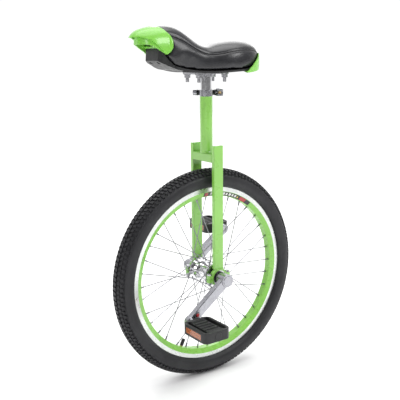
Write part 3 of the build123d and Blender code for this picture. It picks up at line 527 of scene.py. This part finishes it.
# Left half of the seam, from the back to the nose, and its short run across the back.
SEAM = ((-0.118, 0.030, 0.7565), (-0.1135, 0.043, 0.7610), (-0.104, 0.0535, 0.7655),
        (-0.088, 0.0610, 0.7690), (-0.060, 0.0665, 0.7700), (-0.025, 0.0660, 0.7675),
        (0.008, 0.0590, 0.7630), (0.036, 0.0500, 0.7650), (0.060, 0.0455, 0.7765),
        (0.082, 0.0425, 0.7890), (0.104, 0.0405, 0.7985), (0.124, 0.0395, 0.8035))
SEAM_BACK = ((-0.1200, -0.015, 0.7535), (-0.1205, 0.0, 0.7530), (-0.1200, 0.015, 0.7535))
SEAM_STEPS = 8  # points on the smooth curve between two of the above


def seam_line():
    """Smooth line of the piped seam, from the right side of the nose round the back to the left."""
    right = [Vector((x, -y, z)) for x, y, z in reversed(SEAM)]
    rough = right + [Vector(p) for p in SEAM_BACK + SEAM]
    line = []
    for i in range(len(rough) - 1):
        p0 = rough[max(i - 1, 0)]
        p1, p2 = rough[i], rough[i + 1]
        p3 = rough[min(i + 2, len(rough) - 1)]
        for k in range(SEAM_STEPS):
            t = k / SEAM_STEPS
            line.append(0.5 * (2 * p1 + (p2 - p0) * t
                               + (2 * p0 - 5 * p1 + 4 * p2 - p3) * t * t
                               + (3 * p1 - p0 - 3 * p2 + p3) * t ** 3))
    line.append(rough[-1])
    return line


def tube(name, line, radius, material, sides=10):
    """Closed round tube along a line of points."""
    points = []
    faces = []
    last = len(line) - 1
    for i, at in enumerate(line):
        way = (line[min(i + 1, last)] - line[max(i - 1, 0)]).normalized()
        side = way.cross(Vector((0, 0, 1))).normalized()
        up = side.cross(way)
        for k in range(sides):
            turn = 2 * math.pi * k / sides
            points.append(at + side * (radius * math.cos(turn)) + up * (radius * math.sin(turn)))
    for i in range(last):
        here, after = i * sides, (i + 1) * sides
        for k in range(sides):
            j = (k + 1) % sides
            faces.append([here + k, here + j, after + j, after + k])
    faces.append(list(range(sides))[::-1])
    faces.append([last * sides + k for k in range(sides)])
    return piece(name, points, faces, material, 50)


def build_cushion():
    """Foam cushion in a vinyl cover, drawn in along its seam, and the seam's piping."""
    made = copy_of("saddle_cushion", "saddle_cover")
    modify(made, "REMESH", mode="VOXEL", voxel_size=VOXEL)
    swell(made, DRAWN_IN, SWELL_CAP)
    modify(made, "SMOOTH", factor=0.5, iterations=4)
    modify(made, "SUBSURF", levels=1)
    skin = BVHTree.FromObject(made, bpy.context.evaluated_depsgraph_get())
    seam = [skin.find_nearest(at)[:2] for at in seam_line()]
    points = per_vertex(made, "co")
    gap = np.full(len(points), 1.0)
    for place, _ in seam:
        gap = np.minimum(gap, np.linalg.norm(points - np.array(place), axis=1))
    groove = SEAM_DEPTH * np.exp(-(gap / SEAM_WIDTH) ** 2)
    set_coordinates(made, points - per_vertex(made, "normal") * groove[:, None])
    for polygon in made.data.polygons:
        polygon.use_smooth = True
    made.data.materials.clear()
    made.data.materials.append(vinyl)
    line = [place - normal * PIPING_SINK for place, normal in seam]
    return made, tube("saddle_piping", line, PIPING_RADIUS, vinyl)


cushion, piping = build_cushion()
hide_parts("saddle_cushion")
for each in (cushion, piping):
    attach(each, "seat")


# ---- rim decal and crank dot: plain marks, no lettering ----------------------------------------
def flat_finish(name, colour):
    """Printed foil under a thin lacquer."""
    return finish_of(name, colour, 0.35, coat=0.5, vary=0.05, rounding=0.0)


decal_black = flat_finish("decal_black", (0.012, 0.012, 0.013))
decal_red = flat_finish("decal_red", (0.42, 0.020, 0.025))
decal_light = flat_finish("decal_light", (0.68, 0.70, 0.66))
decal_yellow = flat_finish("decal_yellow", (0.70, 0.55, 0.05))
V_INNER = (0.1880, 0.0085)  # radius and y at the inner edge of the rim's slanted side
V_OUTER = (0.1995, 0.0140)
BAND_LIFT = 0.00010  # top of the black band above the rim
MARK_LIFT = 0.00016  # top of the marks on it
DECAL_SINK = 0.00005
DECAL_STEP = 1.2  # longest step round the rim, in degrees


def decal_patch(points, faces, side, share, degrees, lift):
    """Thin patch on the slanted side of the rim: shares of its height, and angles in degrees."""
    slope = Vector((V_OUTER[0] - V_INNER[0], V_OUTER[1] - V_INNER[1]))
    out = Vector((-slope.y, slope.x)).normalized()
    steps = max(1, int(math.ceil((degrees[1] - degrees[0]) / DECAL_STEP)))
    start = len(points)
    for i in range(steps + 1):
        turn = math.radians(degrees[0] + (degrees[1] - degrees[0]) * i / steps)
        for level in (-DECAL_SINK, lift):
            for part in share:
                at = Vector(V_INNER) + slope * part + out * level
                points.append(wheel_point(at.x, turn, side * at.y))
    for i in range(steps):
        a, b = start + 4 * i, start + 4 * i + 4
        for p, q in ((0, 1), (1, 3), (3, 2), (2, 0)):
            faces.append([a + p, a + q, b + q, b + p])
    end = start + 4 * steps
    faces.append([start, start + 2, start + 3, start + 1])
    faces.append([end, end + 1, end + 3, end + 2])


def decal(name, patches, material):
    """One piece of all patches of a colour, turning with the wheel."""
    points = []
    faces = []
    for side, share, degrees, lift in patches:
        decal_patch(points, faces, side, share, degrees, lift)
    made = piece(name, points, faces, material)
    outward(made)
    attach(made, "wheel")


# Each mark is (start and length in degrees, low and high share of the side's height, yellow).
MARKS = ((55.6, 1.3, 0.30, 0.80, False), (58.0, 0.9, 0.25, 0.62, True),
         (59.6, 1.0, 0.35, 0.82, False), (62.2, 1.6, 0.28, 0.78, False),
         (64.6, 1.0, 0.28, 0.5, True), (66.4, 1.6, 0.30, 0.80, False),
         (69.0, 1.4, 0.30, 0.74, False), (71.6, 1.8, 0.28, 0.80, False),
         (74.4, 1.2, 0.30, 0.80, False), (76.8, 1.6, 0.30, 0.76, False),
         (79.4, 0.9, 0.30, 0.60, True))
BAND = (50.0, 92.0)
RED_BLOCKS = ((82.0, 87.5), (51.0, 53.5))
BAND_SHARE = (0.10, 0.93)
RED_SHARE = (0.16, 0.88)
DECAL_SHIFT = 35.0  # degrees that the whole decal is turned round the wheel from these
bands = []
reds = []
lights = []
yellows = []
for side in (1, -1):
    bands.append((side, BAND_SHARE, (BAND[0] + DECAL_SHIFT, BAND[1] + DECAL_SHIFT), BAND_LIFT))
    for start, end in RED_BLOCKS:
        reds.append((side, RED_SHARE, (start + DECAL_SHIFT, end + DECAL_SHIFT), MARK_LIFT))
    for start, length, low, high, yellow in MARKS:
        degrees = (start + DECAL_SHIFT, start + length + DECAL_SHIFT)
        mark = (side, (low, high), degrees, MARK_LIFT)
        (yellows if yellow else lights).append(mark)
decal("rim_band_black", bands, decal_black)
decal("rim_band_red", reds, decal_red)
decal("rim_marks_light", lights, decal_light)
decal("rim_marks_yellow", yellows, decal_yellow)

DOT_FROM_PIVOT = 0.021
DOT_SIDES = 24
DOT_RINGS = ((0.0042, -0.0004), (0.0042, 0.0002), (0.0036, 0.0005), (0.0018, 0.0007))


def crank_dot():
    """Small red domed dot on the left crank's outer face; its rings are (radius, height)."""
    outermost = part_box("left_crank")[1].y
    pivot = Vector(next(j["pos_m"] for j in frame["joints"] if j["name"] == "left_pedal_spin"))
    pivot.y = 0
    along = (Vector((0, 0, AXLE)) - pivot).normalized()
    centre = pivot + along * DOT_FROM_PIVOT
    across = along.cross(Vector((0, 1, 0)))
    crank = BVHTree.FromObject(nodes["left_crank"], bpy.context.evaluated_depsgraph_get())
    above = Vector((centre.x, outermost + 0.02, centre.z))
    hit = crank.ray_cast(above, Vector((0, -1, 0)))[0]
    points = []
    for radius, level in DOT_RINGS:
        for turn in np.linspace(0, 2 * math.pi, DOT_SIDES, endpoint=False):
            points.append(Vector((centre.x, hit.y + level, centre.z))
                          + along * (radius * math.cos(turn)) + across * (radius * math.sin(turn)))
    last = (len(DOT_RINGS) - 1) * DOT_SIDES
    faces = [list(range(DOT_SIDES)), [last + i for i in range(DOT_SIDES)][::-1]]
    for low in range(0, last, DOT_SIDES):
        for i in range(DOT_SIDES):
            j = (i + 1) % DOT_SIDES
            faces.append([low + i, low + DOT_SIDES + i, low + DOT_SIDES + j, low + j])
    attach(piece("crank_dot", points, faces, decal_red), "wheel")


STUDS = 9  # in each row
STUD_INSET = (0.0035, 0.019)  # rows from the pedal's sides, and end studs from its ends
STUD_RINGS = ((0.0024, -0.0004), (0.0021, 0.0004), (0.0012, 0.0010))  # half width and height
STUD_LENGTH = 1.15  # of its width
CORNERS = ((-1, -1), (1, -1), (1, 1), (-1, 1))


def cleats(hand):
    """Rows of small grip studs along both rails and both faces of a pedal."""
    low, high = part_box(hand + "_pedal_body")
    across, ends = STUD_INSET
    points = []
    faces = []
    for level, up in ((high.z, 1), (low.z, -1)):
        for x in (low.x + across, high.x - across):
            for y in np.linspace(low.y + ends, high.y - ends, STUDS):
                rings = []
                for half, lift in STUD_RINGS:
                    rings.append([(x + half * a, y + STUD_LENGTH * half * b, level + up * lift)
                                  for a, b in CORNERS])
                for first, second in zip(rings, rings[1:]):
                    prism(points, faces, first, second)
    made = piece(hand + "_pedal_cleats", points, faces, plastic)
    outward(made)
    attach(made, hand + "_pedal")


crank_dot()
cleats("left")
cleats("right")


# ---- floor, light and camera -------------------------------------------------------------------
FLOOR_HALF = 6.0
FLOOR_GAP = 0.0004  # keeps the floor clear of the tyre


def floor():
    """Plain pale floor under the wheel."""
    card = finish_of("floor_card", (0.93, 0.93, 0.93), 0.8, vary=0.01, rounding=0.0, specular=0.1)
    corners = [(x * FLOOR_HALF, y * FLOOR_HALF, 0) for x, y in CORNERS]
    made = piece("floor", corners, [[0, 1, 2, 3]], card)
    made.location.z = -FLOOR_GAP


def softbox(name, at, aim, size, power):
    """Rectangular lamp that faces a point."""
    light = bpy.data.lights.new(name, "AREA")
    light.shape = "RECTANGLE"
    light.size, light.size_y = size
    light.energy = power
    made = bpy.data.objects.new(name, light)
    made.location = at
    made.rotation_euler = (Vector(aim) - Vector(at)).to_track_quat("-Z", "Y").to_euler()
    bpy.context.scene.collection.objects.link(made)


def overhead_light(name, strength, spread_degrees):
    """Even light from straight above, wide enough to cast soft shadows."""
    light = bpy.data.lights.new(name, "SUN")
    light.energy = strength
    light.angle = math.radians(spread_degrees)
    bpy.context.scene.collection.objects.link(bpy.data.objects.new(name, light))


floor()
softbox("key", (-0.9, 2.0, 1.9), (0, 0, 0.45), (0.9, 0.9), 20)
softbox("fill", (2.4, 0.6, 1.5), (0, 0, 0.4), (0.5, 1.4), 12)
softbox("back", (-1.8, -1.9, 1.8), (0, 0, 0.5), (1.5, 1.5), 14)
overhead_light("sky", 2.4, 70)

BRIGHTEST_WAY = (-0.50, -0.72, 0.25)  # direction of the backdrop behind the object
WALLS, BACKDROP = 0.22, 1.05  # strength behind the viewer and behind the object


def studio():
    """Pale backdrop behind the object, and darker walls opposite, which metal reflects."""
    world = bpy.data.worlds.new("studio")
    world.use_nodes = True
    tree = world.node_tree
    way = tree.nodes.new("ShaderNodeTexCoord")
    facing = tree.nodes.new("ShaderNodeVectorMath")
    facing.operation = "DOT_PRODUCT"
    facing.inputs[1].default_value = BRIGHTEST_WAY
    tree.links.new(way.outputs["Generated"], facing.inputs[0])
    tone = spread(tree, facing.outputs["Value"], WALLS, BACKDROP, -0.10, 0.50)
    tree.links.new(tone, tree.nodes["Background"].inputs["Strength"])
    tree.nodes["Background"].inputs["Color"].default_value = (1, 1, 1, 1)
    bpy.context.scene.world = world


studio()
bpy.context.scene.view_settings.view_transform = "Standard"

CAMERA_AT = (0.9138, 1.2800, 0.7631)
CAMERA_BEARING = 34.91  # degrees round from +Y towards +X
CAMERA_HEIGHT = 14.60  # degrees looked down
CAMERA_ROLL = -0.58  # degrees
CAMERA_LENS = 61.86  # mm, on a sensor of 36 mm
CAMERA_SHIFT = 0.08  # the photograph frames the object above its wheel
camera_data = bpy.data.cameras.new("camera")
camera_data.lens = CAMERA_LENS
camera_data.sensor_width = 36.0
camera_data.shift_y = CAMERA_SHIFT
camera = bpy.data.objects.new("camera", camera_data)
camera.location = CAMERA_AT
bearing = math.radians(CAMERA_BEARING)
height = math.radians(CAMERA_HEIGHT)
back = Vector((math.sin(bearing) * math.cos(height), math.cos(bearing) * math.cos(height),
               math.sin(height)))
level = Vector((0, 0, 1)).cross(back).normalized()
upward = back.cross(level)
roll = Matrix.Rotation(math.radians(CAMERA_ROLL), 3, "Z")
turned = Matrix((level, upward, back)).transposed() @ roll
camera.rotation_euler = turned.to_euler()
bpy.context.scene.collection.objects.link(camera)
bpy.context.scene.camera = camera
